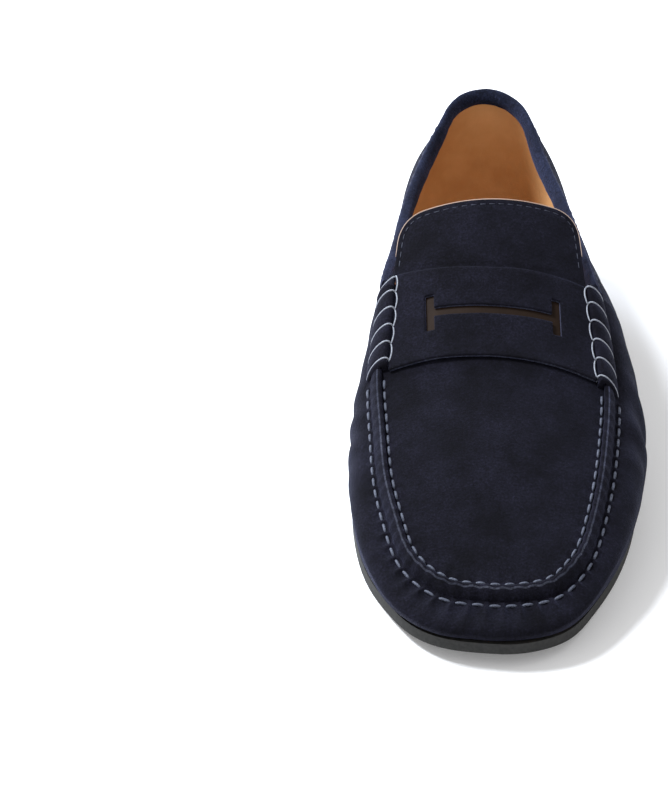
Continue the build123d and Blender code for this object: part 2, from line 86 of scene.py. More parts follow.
# feather line x, distance behind the toe, outward direction, top edge's distance inside the feather line,
# bulge outside it, bulge height above it, arch of the upper profile
STATIONS = [
    (-3.0, 3.1, -90, 15.1, 0.6, 2.0, 0.75),
    (11.0, 5.4, -77.7, 14.1, 0.7, 2.2, 0.75),
    (23.5, 13.8, -57.5, 11.2, 1.1, 4.0, 0.75),
    (32.3, 28.6, -30, 8.2, 1.8, 8.0, 0.75),
    (38.3, 43.0, -22, 8.4, 2.6, 11.0, 0.75),
    (45.0, 64.5, -13, 9.8, 3.2, 13.5, 0.75),
    (49.2, 88.5, -6, 10.2, 3.9, 15.0, 0.75),
    (50.6, 110.0, -1, 9.6, 4.3, 16.5, 0.7),
    (49.3, 132.0, 4, 9.0, 5.0, 18.0, 0.6),
    (46.3, 151.0, 7, 7.5, 5.8, 19.0, 0.5),
    (43.3, 166.5, 7, 5.6, 6.0, 20.0, 0.4),
    (39.6, 190.0, 6, 3.8, 5.4, 20.0, 0.2),
    (36.6, 222.0, 4, 4.9, 3.8, 19.0, 0.15),
    (34.6, 254.0, 12, 10.0, 2.6, 19.0, 0.15),
    (30.5, 274.5, 35, 11.0, 2.8, 20.0, 0.15),
    (19.0, 289.0, 66, 8.0, 3.2, 20.0, 0.15),
    (2.5, 293.5, 90, 3.5, 3.4, 20.0, 0.15),
    (-14.0, 289.0, 114, 8.0, 3.2, 20.0, 0.15),
    (-25.5, 274.5, 145, 10.5, 2.8, 20.0, 0.15),
    (-29.8, 254.0, 168, 6.9, 3.0, 19.0, 0.15),
    (-30.2, 222.0, 177, -1.4, 5.4, 20.0, 0.15),
    (-32.0, 190.0, 176, -4.8, 7.4, 22.0, 0.2),
    (-37.0, 165.0, 172, -3.8, 7.4, 22.0, 0.4),
    (-42.5, 143.0, 171, 0.6, 6.4, 20.0, 0.5),
    (-48.0, 120.0, 174, 3.6, 5.0, 18.0, 0.65),
    (-51.2, 95.0, 179, 7.4, 3.4, 16.0, 0.75),
    (-51.7, 70.0, 183, 9.3, 2.3, 13.5, 0.75),
    (-49.3, 48.5, 192, 10.7, 2.1, 11.0, 0.75),
    (-44.5, 32.0, 205, 10.5, 1.8, 7.0, 0.75),
    (-37.3, 17.5, 222, 13.0, 1.2, 4.0, 0.75),
    (-25.5, 7.6, 244, 14.5, 0.9, 2.4, 0.75),
    (-13.0, 4.2, 260, 15.0, 0.7, 2.0, 0.75),
]

# heights by distance behind the toe, and how steeply the instep arches across
SOLE_TOP = [(0, 10.6), (15, 8.6), (30, 7.0), (60, 5.3), (90, 5.0), (120, 5.6), (150, 8.0), (185, 12.2),
            (225, 15.2), (260, 16.0), (297, 16.4)]
INSTEP = [(0, 12.5), (10, 17.0), (24, 22.0), (68, 38.0), (118, 55.0), (152, 73.0), (181, 88.5), (200, 97.5)]
ARCH = [(0, 0.002), (24, 0.0022), (68, 0.0037), (118, 0.0052), (152, 0.0070), (200, 0.0076)]
TOPLINE = [(140, 60.0), (152, 61.0), (165, 61.3), (190, 61.0), (222, 63.0), (252, 68.0), (268, 73.0),
           (281, 77.3), (291, 79.3)]
TOPLINE_FRONT = 152
INSTEP_MID = -1.0


# ---- curves and surfaces ----
def smooth(points, at):
    """A monotone cubic through (place, value) points, read at an array of places."""
    xs, ys = np.array(points, float).T
    slopes = np.diff(ys) / np.diff(xs)
    a, b = slopes[:-1], slopes[1:]
    with np.errstate(divide="ignore", invalid="ignore"):
        inner = np.where(a * b <= 0, 0.0, 2 * a * b / (a + b))
    tangents = np.concatenate([[slopes[0]], inner, [slopes[-1]]])
    at = np.clip(np.asarray(at, float), xs[0], xs[-1])
    i = np.clip(np.searchsorted(xs, at, side="right") - 1, 0, len(xs) - 2)
    h = xs[i + 1] - xs[i]
    t = (at - xs[i]) / h
    return (
        ys[i] * (1 + 2 * t) * (1 - t) ** 2
        + h * tangents[i] * t * (1 - t) ** 2
        + ys[i + 1] * t * t * (3 - 2 * t)
        + h * tangents[i + 1] * t * t * (t - 1)
    )


def ring_controls():
    """Control points of the closed cubic B-spline through the stations."""
    rows = np.array([
        (x, y, math.cos(math.radians(a)), math.sin(math.radians(a)), *rest) for x, y, a, *rest in STATIONS
    ])
    n = len(rows)
    matrix = np.eye(n) * 4 / 6 + (np.roll(np.eye(n), 1, 0) + np.roll(np.eye(n), -1, 0)) / 6
    return np.linalg.solve(matrix, rows)


RING = ring_controls()


def instep(x, y):
    """Height of the arched instep surface."""
    return smooth(INSTEP, y) - smooth(ARCH, y) * (x - INSTEP_MID) ** 2


def ring(places):
    """The stations at an array of places, as columns: the foot and top edge of the upper, and its bulge."""
    places = np.asarray(places, float)
    i = np.floor(places).astype(int)
    t = places - i
    weights = ((1 - t) ** 3, 3 * t**3 - 6 * t**2 + 4, -3 * t**3 + 3 * t**2 + 3 * t + 1, t**3)
    row = sum((w / 6)[:, None] * RING[(i + k - 1) % COUNT] for k, w in enumerate(weights))
    s = SimpleNamespace(place=places[:, None])
    s.x, s.y, dx, dy, s.inset, s.bulge, s.rise, s.arch = (column[:, None] for column in row.T)
    size = np.hypot(dx, dy)
    s.dx, s.dy = dx / size, dy / size
    s.foot = smooth(SOLE_TOP, s.y) + FOOT_GAP
    x, y = plan(s, -s.inset)
    s.edge = np.where(y < TOPLINE_FRONT, instep(x, y), smooth(TOPLINE, y))
    fade = smooth(SHOULDER_FADE, y)
    s.top_r = RIDGE_HALF * fade - s.inset
    s.top_z = s.edge - SHOULDER_DROP * fade
    s.edge_y = y
    return s


def plan(s, out):
    """Plan points at a distance outside the feather line."""
    return s.x + out * s.dx, s.y + out * s.dy


def surface(s, v):
    """The upper's plain profile: v is 0 at the feather line and 1 at its top; the bulge's arc comes first."""
    belly = s.foot + s.rise
    turn = math.pi / 2 * np.clip(v / BELLY_SHARE, 0, 1)
    t = np.clip((v - BELLY_SHARE) / (1 - BELLY_SHARE), 0, None)
    r_low, z_low = s.bulge * np.sin(turn), s.foot + s.rise * (1 - np.cos(turn))
    r_high = s.top_r + (s.bulge - s.top_r) * (1 - t * t)
    z_high = belly + (s.top_z - belly) * t * (1 + s.arch - s.arch * t)
    low = v < BELLY_SHARE
    return np.where(low, r_low, r_high), np.where(low, z_low, z_high)


def profile(s, v, depth=0.0):
    """Points of the upper at a depth inwards from its outside."""
    r0, z0 = surface(s, np.maximum(v - CHORD, 0.0))
    r1, z1 = surface(s, np.minimum(v + CHORD, 1.0))
    size = np.hypot(r1 - r0, z1 - z0)
    r, z = surface(s, v)
    return r - depth * (z1 - z0) / size, z + depth * (r1 - r0) / size


def world(s, r, z):
    """Profile points as points of the shoe, in millimetres."""
    x, y = plan(s, r)
    return np.stack(np.broadcast_arrays(x - X_MID, y + Y_TOE, z), axis=-1)


def wave(points, scale, seed=0.0):
    """Smooth noise from -1 to 1 at an array of points; scale is the size of its features."""
    flat = np.asarray(points, float).reshape(-1, 3) / scale + seed
    values = np.array([noise(Vector(p)) for p in flat])
    return values.reshape(np.asarray(points).shape[:-1])


def flat_wave(x, y, scale, seed):
    """The same noise for plan points, whatever their height."""
    return wave(np.stack([x, y, 0 * x], axis=1), scale, seed)


def bell(x):
    """1 at zero, falling away evenly on both sides."""
    return np.exp(-x * x)


TOE_WIDTH = [(0, 0.86), (20, 0.88), (45, 0.93), (90, 1.0)]
TOE_CENTRE = -3
TOE_PULL = 0.9


def narrow(points, share=1.0):
    """Draws the foot of the upper and the sole in at the toe's corners, which the upper overhangs."""
    points = np.array(points, float)
    behind = points[..., 1] - Y_TOE
    points[..., 0] += (smooth(TOE_WIDTH, behind) - 1) * (points[..., 0] - TOE_CENTRE) * share
    points[..., 1] += TOE_PULL * bell(behind / 9) * share
    return points


# ---- meshes ----
def make_mesh(name, verts, faces, sharp=None):
    """Object from points in millimetres; edges that turn by more than sharp degrees stay crisp."""
    mesh = bpy.data.meshes.new(name)
    mesh.from_pydata((np.asarray(verts, float) * MM).tolist(), [], faces)
    mesh.validate()
    mesh.shade_smooth()
    if sharp is not None:
        mesh.set_sharp_from_angle(angle=math.radians(sharp))
    piece = bpy.data.objects.new(name, mesh)
    bpy.context.scene.collection.objects.link(piece)
    return piece


def grid_faces(n, m, start=0, flip=False, wrap=False):
    """Quads of an n by m grid of vertices; wrap joins its last row to its first."""
    faces = []
    for i in range(n if wrap else n - 1):
        j = np.arange(m - 1)
        a = start + i * m + j
        b = start + ((i + 1) % n) * m + j
        quads = np.stack([a, b, b + 1, a + 1], axis=1)
        faces += (quads[:, ::-1] if flip else quads).tolist()
    return faces


def strip(a, b):
    """Quads between two rows of vertex numbers."""
    return [(a[i], a[i + 1], b[i + 1], b[i]) for i in range(len(a) - 1)]


def shell(name, outer, inner, wrap=False, sharp=50):
    """Closed sheet between two grids of points, outside first."""
    n, m = outer.shape[:2]
    verts = np.concatenate([outer.reshape(-1, 3), inner.reshape(-1, 3)])
    top, low = np.arange(n * m).reshape(n, m), np.arange(n * m).reshape(n, m) + n * m
    faces = grid_faces(n, m, wrap=wrap) + grid_faces(n, m, start=n * m, flip=True, wrap=wrap)
    ends = list(range(n)) + ([0] if wrap else [])
    faces += strip(low[ends, 0], top[ends, 0]) + strip(top[ends, -1], low[ends, -1])
    if not wrap:
        faces += strip(top[0], low[0]) + strip(low[-1], top[-1])
    return make_mesh(name, verts, [tuple(int(k) for k in f) for f in faces], sharp)


THREAD_SIDES = 8


def tube_points(path, radius):
    """Vertices of a tube along a path; the radius is a number or one for each point."""
    path = np.asarray(path, float)
    along = np.gradient(path, axis=0)
    along /= np.linalg.norm(along, axis=1, keepdims=True)
    side = np.cross(along, [0.0, 0.0, 1.0])
    side /= np.linalg.norm(side, axis=1, keepdims=True) + 1e-9
    up = np.cross(side, along)
    radius = np.broadcast_to(radius, len(path))[:, None, None]
    angles = np.linspace(0, 2 * math.pi, THREAD_SIDES, endpoint=False)[None, :, None]
    return path[:, None] + (side[:, None] * np.cos(angles) + up[:, None] * np.sin(angles)) * radius


def tubes(name, paths, radius):
    """Many closed-ended threads in one object."""
    verts, faces = [], []
    for path in paths:
        start = len(verts)
        verts += tube_points(path, radius).reshape(-1, 3).tolist()
        rows = np.arange(start, len(verts)).reshape(-1, THREAD_SIDES)
        around = [*range(THREAD_SIDES), 0]
        for near, far in zip(rows.tolist(), rows[1:].tolist()):
            faces += [(near[j], near[k], far[k], far[j]) for j, k in zip(around, around[1:])]
        faces.append(tuple(rows[0].tolist())[::-1])
        faces.append(tuple(rows[-1].tolist()))
    return make_mesh(name, verts, faces)


def thread_radius(count, size):
    """A stitch that narrows where it goes into the leather."""
    return size * (1 - 0.55 * np.abs(np.linspace(-1, 1, count)) ** 4)


def edge_distance(points, outline):
    """Distance from each plan point to a closed outline."""
    a = np.asarray(outline, float)
    b = np.roll(a, -1, 0)
    p = np.asarray(points, float)[:, None]
    ab = b - a
    t = np.clip(((p - a) * ab).sum(-1) / ((ab * ab).sum(-1) + 1e-12), 0, 1)
    return np.linalg.norm(p - (a + ab * t[..., None]), axis=-1).min(1)


def inside(points, outline):
    """Which plan points lie inside a closed outline."""
    a = np.asarray(outline, float)
    b = np.roll(a, -1, 0)
    x, y = np.asarray(points, float).T[..., None]
    crosses = (a[:, 1] > y) != (b[:, 1] > y)
    with np.errstate(divide="ignore", invalid="ignore"):
        at = a[:, 0] + (y - a[:, 1]) * (b[:, 0] - a[:, 0]) / (b[:, 1] - a[:, 1])
    return (crosses & (x < at)).sum(1) % 2 == 1


def distances(path):
    """How far along a path each of its points is."""
    return np.concatenate([[0], np.cumsum(np.linalg.norm(np.diff(path, axis=0), axis=1))])


def resample(outline, step):
    """Points an equal distance apart along a closed outline."""
    pts = np.asarray(outline, float)
    pts = np.vstack([pts, pts[:1]])
    walked = distances(pts)
    count = max(3, round(walked[-1] / step))
    at = np.linspace(0, walked[-1], count + 1)[:-1]
    return np.stack([np.interp(at, walked, pts[:, k]) for k in range(pts.shape[1])], axis=1)


def offset_ring(outline, amount):
    """Outline moved inwards (it runs anticlockwise), for points near an edge."""
    pts = np.asarray(outline, float)
    along = np.roll(pts, -1, 0) - np.roll(pts, 1, 0)
    along /= np.linalg.norm(along, axis=1, keepdims=True) + 1e-9
    return pts + amount * np.stack([-along[:, 1], along[:, 0]], axis=1)


def anticlockwise(outline):
    """The outline, turned round if it runs clockwise."""
    pts = np.asarray(outline, float)
    after = np.roll(pts, -1, 0)
    area = (pts[:, 0] * after[:, 1] - after[:, 0] * pts[:, 1]).sum()
    return pts if area > 0 else pts[::-1]


def plan_triangles(borders, step, edge):
    """Plan points and anticlockwise triangles that fill an outline; the borders after the first are holes."""
    rings = []
    for border in borders:
        rings += [border] + [offset_ring(border, edge * k) for k in (0.3, 1.0)]
    low, high = borders[0].min(0), borders[0].max(0)
    xs, ys = np.meshgrid(np.arange(low[0], high[0], step), np.arange(low[1], high[1], step))
    xs = xs + (np.arange(len(xs)) % 2)[:, None] * step / 2
    fill = np.stack([xs.ravel(), ys.ravel()], axis=1)
    clear = inside(fill, borders[0])
    for border in borders:
        clear &= edge_distance(fill, border) > edge + step * 0.5
    for hole in borders[1:]:
        clear &= ~inside(fill, hole)
    points = np.vstack(rings + [fill[clear]])
    edges, start = [], 0
    for border in borders:
        count = len(border)
        edges += [(start + i, start + (i + 1) % count) for i in range(count)]
        start += 3 * count
    pts, _, tris, *_ = delaunay_2d_cdt([Vector(p) for p in points], edges, [], 0, 1e-6)
    pts = np.array([tuple(p) for p in pts])
    tris = np.array([t for t in tris if len(t) == 3])
    centres = pts[tris].mean(1)
    keep = inside(centres, borders[0])
    for hole in borders[1:]:
        keep &= ~inside(centres, hole)
    tris = tris[keep]
    a, b, c = pts[tris[:, 0]], pts[tris[:, 1]], pts[tris[:, 2]]
    turn = (b[:, 0] - a[:, 0]) * (c[:, 1] - a[:, 1]) - (b[:, 1] - a[:, 1]) * (c[:, 0] - a[:, 0])
    return pts, np.where((turn > 0)[:, None], tris, tris[:, ::-1])


def outer_edges(triangles):
    """The edges that only one triangle has."""
    edges = {}
    for t in triangles:
        for k in range(3):
            edge = (int(t[k]), int(t[(k + 1) % 3]))
            if edge[::-1] in edges:
                del edges[edge[::-1]]
            else:
                edges[edge] = True
    return list(edges)


def cut_sheet(name, outline, holes, top, thickness, step, edge=0.45, dent=None):
    """Sheet cut to a plan outline, lying under a surface, its cut edges rounded by a radius."""
    borders = [anticlockwise(resample(outline, step))]
    borders += [anticlockwise(resample(hole, step * 0.6))[::-1] for hole in holes]
    pts, tris = plan_triangles(borders, step, edge)
    gap = np.min([edge_distance(pts, border) for border in borders], axis=0)
    near = np.clip(edge - gap, 0, None)
    drop = edge - np.sqrt(np.maximum(edge**2 - near**2, 0))
    x, y = pts.T
    z = top(x, y)
    if dent is not None:
        z = z + dent(x, y, gap)
    grade_x = top(x + 0.5, y) - top(x - 0.5, y)
    grade_y = top(x, y + 0.5) - top(x, y - 0.5)
    normal = np.stack([-grade_x, -grade_y, np.ones_like(z)], axis=1)
    normal /= np.linalg.norm(normal, axis=1, keepdims=True)
    upper = np.stack([x, y, z], axis=1)
    verts = np.vstack([upper - normal * drop[:, None], upper - normal * (thickness - drop * 0.6)[:, None]])
    verts[:, 0] -= X_MID
    verts[:, 1] += Y_TOE
    count = len(pts)
    faces = [tuple(int(k) for k in t) for t in tris] + [tuple(int(k) + count for k in t[::-1]) for t in tris]
    faces += [(b, a, a + count, b + count) for a, b in outer_edges(tris)]
    return make_mesh(name, verts, faces, 70)


def wear(piece, body, material, slot, *nodes):
    """Puts a piece on a body in place of CAD nodes, with its material; the slot argument is not used."""
    piece.data.materials.clear()
    piece.data.materials.append(material)
    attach(piece, body)
    if nodes:
        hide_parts(*nodes)
    return piece


# ---- materials ----
def nodes_of(name):
    """New material: its node tree, Principled shader and a coordinate node in metres."""
    material = bpy.data.materials.new(name)
    material.use_nodes = True
    tree = material.node_tree
    shader = tree.nodes["Principled BSDF"]
    where = tree.nodes.new("ShaderNodeTexCoord")
    return material, tree, shader, where.outputs["Object"]


def noise_node(tree, where, scale, detail=4.0, rough=0.6):
    """Noise from 0 to 1; scale is its features per metre."""
    node = tree.nodes.new("ShaderNodeTexNoise")
    node.inputs["Scale"].default_value = scale
    node.inputs["Detail"].default_value = detail
    node.inputs["Roughness"].default_value = rough
    tree.links.new(where, node.inputs["Vector"])
    return node.outputs["Fac"]


def ramp(tree, value, *stops):
    """Colour from a value, through stops of (value, colour)."""
    node = tree.nodes.new("ShaderNodeValToRGB")
    marks = node.color_ramp.elements
    for k, (at, colour) in enumerate(stops):
        mark = marks[k] if k < 2 else marks.new(at)
        mark.position = at
        mark.color = (*colour, 1.0)
    tree.links.new(value, node.inputs["Fac"])
    return node.outputs["Color"]


def multiplied(tree, a, b):
    """Two colours multiplied."""
    node = tree.nodes.new("ShaderNodeMix")
    node.data_type = "RGBA"
    node.blend_type = "MULTIPLY"
    node.inputs[0].default_value = 1.0
    tree.links.new(a, node.inputs[6])
    tree.links.new(b, node.inputs[7])
    return node.outputs[2]


def bump(tree, shader, *layers):
    """Bump layers as (height, strength, distance in metres), finest first."""
    normal = None
    for height, strength, distance in layers:
        node = tree.nodes.new("ShaderNodeBump")
        node.inputs["Strength"].default_value = strength
        node.inputs["Distance"].default_value = distance
        tree.links.new(height, node.inputs["Height"])
        if normal is not None:
            tree.links.new(normal, node.inputs["Normal"])
        normal = node.outputs["Normal"]
    tree.links.new(normal, shader.inputs["Normal"])


def suede(name, dark, light, sheen):
    """Napped leather: cloudy patches where the nap lies differently, over short fibres."""
    material, tree, shader, where = nodes_of(name)
    clouds = noise_node(tree, where, 52, 6, 0.68)
    fibre = noise_node(tree, where, 1150, 5, 0.78)
    patches = ramp(tree, clouds, (0.38, dark), (0.64, light))
    speck = ramp(tree, fibre, (0.36, (0.35, 0.35, 0.36)), (0.56, (1.15, 1.15, 1.15)), (0.70, (2.6, 2.6, 2.7)))
    tree.links.new(multiplied(tree, patches, speck), shader.inputs["Base Color"])
    shader.inputs["Roughness"].default_value = 0.93
    shader.inputs["Specular IOR Level"].default_value = 0.09
    shader.inputs["Sheen Weight"].default_value = sheen
    shader.inputs["Sheen Roughness"].default_value = 0.42
    shader.inputs["Sheen Tint"].default_value = (0.42, 0.46, 0.85, 1.0)
    bump(tree, shader, (fibre, 0.5, 0.0006), (noise_node(tree, where, 420), 0.28, 0.0007))
    return material


def leather(name, dark, light, rough=0.42, gloss=0.25):
    """Smooth leather with a fine pebbled grain and uneven dye."""
    material, tree, shader, where = nodes_of(name)
    tone = noise_node(tree, where, 32, 5, 0.6)
    tree.links.new(ramp(tree, tone, (0.3, dark), (0.72, light)), shader.inputs["Base Color"])
    cells = tree.nodes.new("ShaderNodeTexVoronoi")
    cells.inputs["Scale"].default_value = 1100
    tree.links.new(where, cells.inputs["Vector"])
    rub = tree.nodes.new("ShaderNodeMapRange")
    rub.inputs["To Min"].default_value = rough - 0.07
    rub.inputs["To Max"].default_value = rough + 0.12
    tree.links.new(noise_node(tree, where, 90), rub.inputs["Value"])
    tree.links.new(rub.outputs["Result"], shader.inputs["Roughness"])
    shader.inputs["Specular IOR Level"].default_value = gloss
    pebbles, waviness = cells.outputs["Distance"], noise_node(tree, where, 120)
    bump(tree, shader, (pebbles, 0.12, 0.0003), (waviness, 0.18, 0.0008))
    return material


def matt(name, dark, light, scale, rough=0.7, strength=0.25, metallic=0.0):
    """Speckled plain material: rubber, board, cork, steel or thread."""
    material, tree, shader, where = nodes_of(name)
    speck = noise_node(tree, where, scale, 4, 0.65)
    tree.links.new(ramp(tree, speck, (0.35, dark), (0.65, light)), shader.inputs["Base Color"])
    shader.inputs["Roughness"].default_value = rough
    shader.inputs["Metallic"].default_value = metallic
    shader.inputs["Specular IOR Level"].default_value = 0.3
    bump(tree, shader, (speck, strength, 0.0003))
    return material


NAVY = suede("navy_suede", (0.0018, 0.0016, 0.0033), (0.0060, 0.0058, 0.0112), sheen=0.085)
# a lighter, bluer copy of the suede for the binding: painted sheen, standing in for the light the rolled edge
# catches
NAVY_PAINTED_SHEEN = suede("navy_suede_painted_sheen", (0.0048, 0.0060, 0.0135), (0.0135, 0.0170, 0.0370), sheen=0.16)
# paler suede for the cut edges of sheets, and a painted highlight along the ridge's crest
NAVY_EDGE_AND_HIGHLIGHT = suede("navy_suede_cut_edge_and_highlight", (0.014, 0.015, 0.022), (0.034, 0.036, 0.048), sheen=0.3)
TAN = leather("tan_leather", (0.52, 0.28, 0.115), (0.74, 0.45, 0.215))
TAN_EDGE = leather("tan_leather_cut_edge", (0.38, 0.27, 0.21), (0.52, 0.40, 0.33), rough=0.7)
BROWN = leather("brown_leather", (0.009, 0.005, 0.003), (0.020, 0.011, 0.007), rough=0.6, gloss=0.08)
THREAD_NAVY = matt("thread", (0.024, 0.028, 0.046), (0.100, 0.110, 0.150), 1800, rough=0.6)
THREAD_DARK = matt("thread_dark", (0.010, 0.012, 0.022), (0.044, 0.050, 0.078), 1800, rough=0.6)
THREAD_PALE = matt("whip_thread", (0.16, 0.17, 0.21), (0.34, 0.36, 0.41), 1800, rough=0.6)
SOLE = matt("sole_rubber", (0.008, 0.008, 0.0075), (0.019, 0.0185, 0.017), 700, rough=0.72)
HEEL = matt("heel_rubber", (0.012, 0.012, 0.012), (0.026, 0.026, 0.025), 700, rough=0.75)
BOARD = matt("board", (0.16, 0.11, 0.07), (0.26, 0.19, 0.12), 500, rough=0.9)
CORK = matt("cork", (0.12, 0.06, 0.025), (0.32, 0.19, 0.09), 350, rough=0.9, strength=0.6)
STEEL = matt("steel", (0.30, 0.30, 0.31), (0.45, 0.45, 0.46), 300, rough=0.35, metallic=1.0)

# ---- camera, at the photograph's viewing angle ----
camera = bpy.data.objects.new("camera", bpy.data.cameras.new("camera"))
bpy.context.scene.collection.objects.link(camera)
bpy.context.scene.camera = camera
camera.location = (-0.0602, -0.8822, 0.5631)
camera.rotation_euler = (math.radians(58.22), 0, 0)
camera.data.lens = 121.65
camera.data.sensor_width = 36.0

# ---- the raised seam's stitches, by distance along the top edge ----
STITCHES = 46
seam_places = np.linspace(SEAM_IN - COUNT - 0.6, SEAM_OUT + 0.6, 1600)
seam = ring(seam_places)
seam_xy = np.concatenate(plan(seam, -seam.inset), axis=1)
seam_walked = distances(seam_xy)
stitch_first, stitch_last = np.interp([ROLL_IN[1], ROLL_OUT[0]], seam_places, seam_walked)
PITCH = (stitch_last - stitch_first) / (STITCHES - 1)


def stitch_phase(places):
    """How many stitches along the seam a place is; whole numbers are stitch middles."""
    return (np.interp(places, seam_places, seam_walked) - stitch_first) / PITCH


def place_at(phase):
    """The place on the ring of a number of stitches along the seam."""
    return np.interp(stitch_first + np.asarray(phase, float) * PITCH, seam_walked, seam_places)


def seam_share(places):
    """1 along the stitched seam, fading to 0 under the strap's rolled ends."""
    phase = stitch_phase(places)
    return np.clip((phase + 0.5) / 1.5, 0, 1) * np.clip((STITCHES - 0.5 - phase) / 1.5, 0, 1)


def stitch_hole(phase):
    """Distance, in stitches, from the hole between two stitches."""
    return phase - np.floor(phase) - 0.5


def normals(grid):
    """Unit normals of a grid of points, outwards for the ring's sheets."""
    across = np.cross(np.gradient(grid, axis=1), np.gradient(grid, axis=0))
    return across / (np.linalg.norm(across, axis=2, keepdims=True) + 1e-9)


def creases(points):
    """Soft walking folds: slanted waves on both sides of the ball, and a few low ones behind it."""
    x, y, z = (points[..., k] for k in range(3))
    behind = y - Y_TOE
    outside = x > 0
    drift = 3.0 * wave(points, 26.0, 3.1)
    slant = behind - 0.55 * z * np.where(outside, 1.0, -1.0) - 6 * outside + drift
    ball = bell((behind - 112) / 26) * bell((z - 26) / 15)
    rear = bell((behind - 190) / 34) * bell((z - 34) / 18)
    return (np.where(outside, 0.85, 0.4) * ball * np.sin(slant / 2.6)
            + np.where(outside, 0.45, 0.35) * rear * np.sin(slant / 3.6)
            + 0.35 * wave(points, 22.0, 7.7) + 0.10 * wave(points, 6.0, 1.3))


def arch_path(start, stop, top, count, fullness=1.0):
    """Profile points over a half-round top, from start to stop, both (r, z)."""
    t = np.linspace(0, math.pi, count)[None, :]
    sweep = (1 - np.cos(t)) / 2
    (start_r, start_z), (stop_r, stop_z) = start, stop
    lift = top - (start_z + stop_z) / 2
    r = start_r + (stop_r - start_r) * sweep
    return r, start_z + (stop_z - start_z) * sweep + lift * np.sin(t) ** fullness


# ---- vamp wall with its raised seam ----
PLAIN_ROWS, RIDGE_ROWS = 40, 21
WALL_STEP = 0.75
WALL_FOOT = 0.03
SEAM_V = 0.97


def wall_grids():
    """The wall's outside and inside: the plain rows, the ridge, and the edge that meets the apron."""
    first, last = SEAM_IN - COUNT, SEAM_OUT
    places = np.linspace(first, last, int(round((last - first) * STATION_GAP / WALL_STEP)))
    s = ring(places)
    v = np.linspace(WALL_FOOT, SEAM_V, PLAIN_ROWS)[None, :]
    phase = stitch_phase(places)[:, None]
    share = seam_share(places)[:, None]
    toe = bell((s.edge_y - 10) / 34)
    r, z = profile(s, v)
    low_r, low_z = profile(s, v, SUEDE)

    # the ridge stands higher and wider between two stitches
    between = 0.5 - 0.5 * np.cos(2 * math.pi * phase)
    start_r, start_z = s.top_r + 0.25 * between * share, s.top_z
    stop_r = -s.inset - RIDGE_HALF - (0.15 + 0.35 * toe) * between * share
    stop_z = instep(*plan(s, -s.inset - RIDGE_HALF)) + 0.05
    top_z = s.edge + smooth(RIDGE_RISE, s.edge_y) + (0.28 + 0.2 * toe) * (between - 0.5) * share
    ridge_r, ridge_z = arch_path((start_r, start_z), (stop_r, stop_z), top_z, RIDGE_ROWS + 2, 0.85)
    outer_r = np.concatenate([r, ridge_r[:, 1:-1], stop_r], 1)
    outer_z = np.concatenate([z, ridge_z[:, 1:-1], stop_z], 1)
    outer = world(s, outer_r, outer_z)

    # under it the inside runs straight to the apron's edge
    across = np.linspace(0, 1, RIDGE_ROWS + 1)[None, :]
    from_r, from_z = low_r[:, -1:], low_z[:, -1:]
    under_r = from_r + (stop_r - from_r) * across
    under_z = from_z + (stop_z - SUEDE - from_z) * across
    inner = world(s, np.concatenate([low_r, under_r], 1), np.concatenate([low_z, under_z], 1))

    # gathers and pulled stitches just below the ridge, soft creases further down; down is 1 at the foot
    plain = np.concatenate([np.ones_like(r), np.zeros_like(under_r)], 1)
    down = np.concatenate([(1 - v) * np.ones_like(r), np.zeros_like(under_r)], 1)
    below = down * (s.edge - s.foot) * 1.25
    wander = 0.10 * wave(np.concatenate([phase, 0 * phase, 0 * phase], 1), 2.3, 1.9)[:, None]
    gathers = np.cos(2 * math.pi * (phase + wander)) * bell((below - 1.0) / (3.0 + 2.0 * toe))
    folds = (0.12 + 0.14 * toe) * gathers
    pulls = -0.62 * bell(stitch_hole(phase) / 0.13) * bell((below - 1.5) / 1.3)
    soft = creases(outer) * np.clip(below / 5, 0, 1) * np.clip((1 - WALL_FOOT - down) / 0.12, 0, 1)
    move = (soft + (folds + pulls) * share * plain)[..., None] * normals(outer)
    foot = np.clip((down - 0.6) / 0.4, 0, 1) ** 1.5
    return narrow(outer + move, foot), narrow(inner + move, foot)


wall_outer, wall_inner = wall_grids()
wall = shell("wall", wall_outer, wall_inner, sharp=60)
wear(wall, "root", NAVY, "navy_suede", "vamp_wall")
wall.data.materials.append(NAVY_EDGE_AND_HIGHLIGHT)

# the ridge's crest, two quads wide, in the paler edge suede: a painted highlight along the crest
quads_across = wall_outer.shape[1] - 1
crest = PLAIN_ROWS + RIDGE_ROWS // 2 + 1
for k in range((len(wall_outer) - 1) * quads_across):
    if k % quads_across in (crest - 1, crest):
        wall.data.polygons[k].material_index = 1


# ---- quarters, linings and the back strip ----
SHEET_STEP = 1.2
SHEET_ROWS = 44
QUARTER_TOP = 0.985
LINING_FOOT = 0.1


def sheet_grids(first, last, depths, v0, v1, crease):
    """Outside and inside of a sheet at two depths in the upper, with a share of its creases."""
    s = ring(np.linspace(first, last, int(round((last - first) * STATION_GAP / SHEET_STEP))))
    v = np.linspace(v0, v1, SHEET_ROWS)[None, :]
    outer, inner = (world(s, *profile(s, v, depth)) for depth in depths)
    ease = np.clip((v - WALL_FOOT) / 0.15, 0, 1) * np.clip((v1 - v) / 0.08, 0, 1)
    move = (creases(outer) * ease * crease)[..., None] * normals(outer)
    return outer + move, inner + move


for side, first, last in (("lateral", SEAM_OUT + 0.02, BACK), ("medial", BACK, SEAM_IN - 0.02)):
    suede_grids = sheet_grids(first, last, (0.0, SUEDE), WALL_FOOT, QUARTER_TOP, crease=1.0)
    quarter = shell(f"quarter_{side}_suede", *suede_grids)
    wear(quarter, "root", NAVY, "navy_suede", f"quarter_{side}")
    lining_grids = sheet_grids(first, last, (LINING_DEPTH, SHEETS), LINING_FOOT, QUARTER_TOP, crease=0.35)
    lining = shell(f"quarter_{side}_leather", *lining_grids)
    wear(lining, "root", TAN, "tan_leather", f"quarter_lining_{side}")

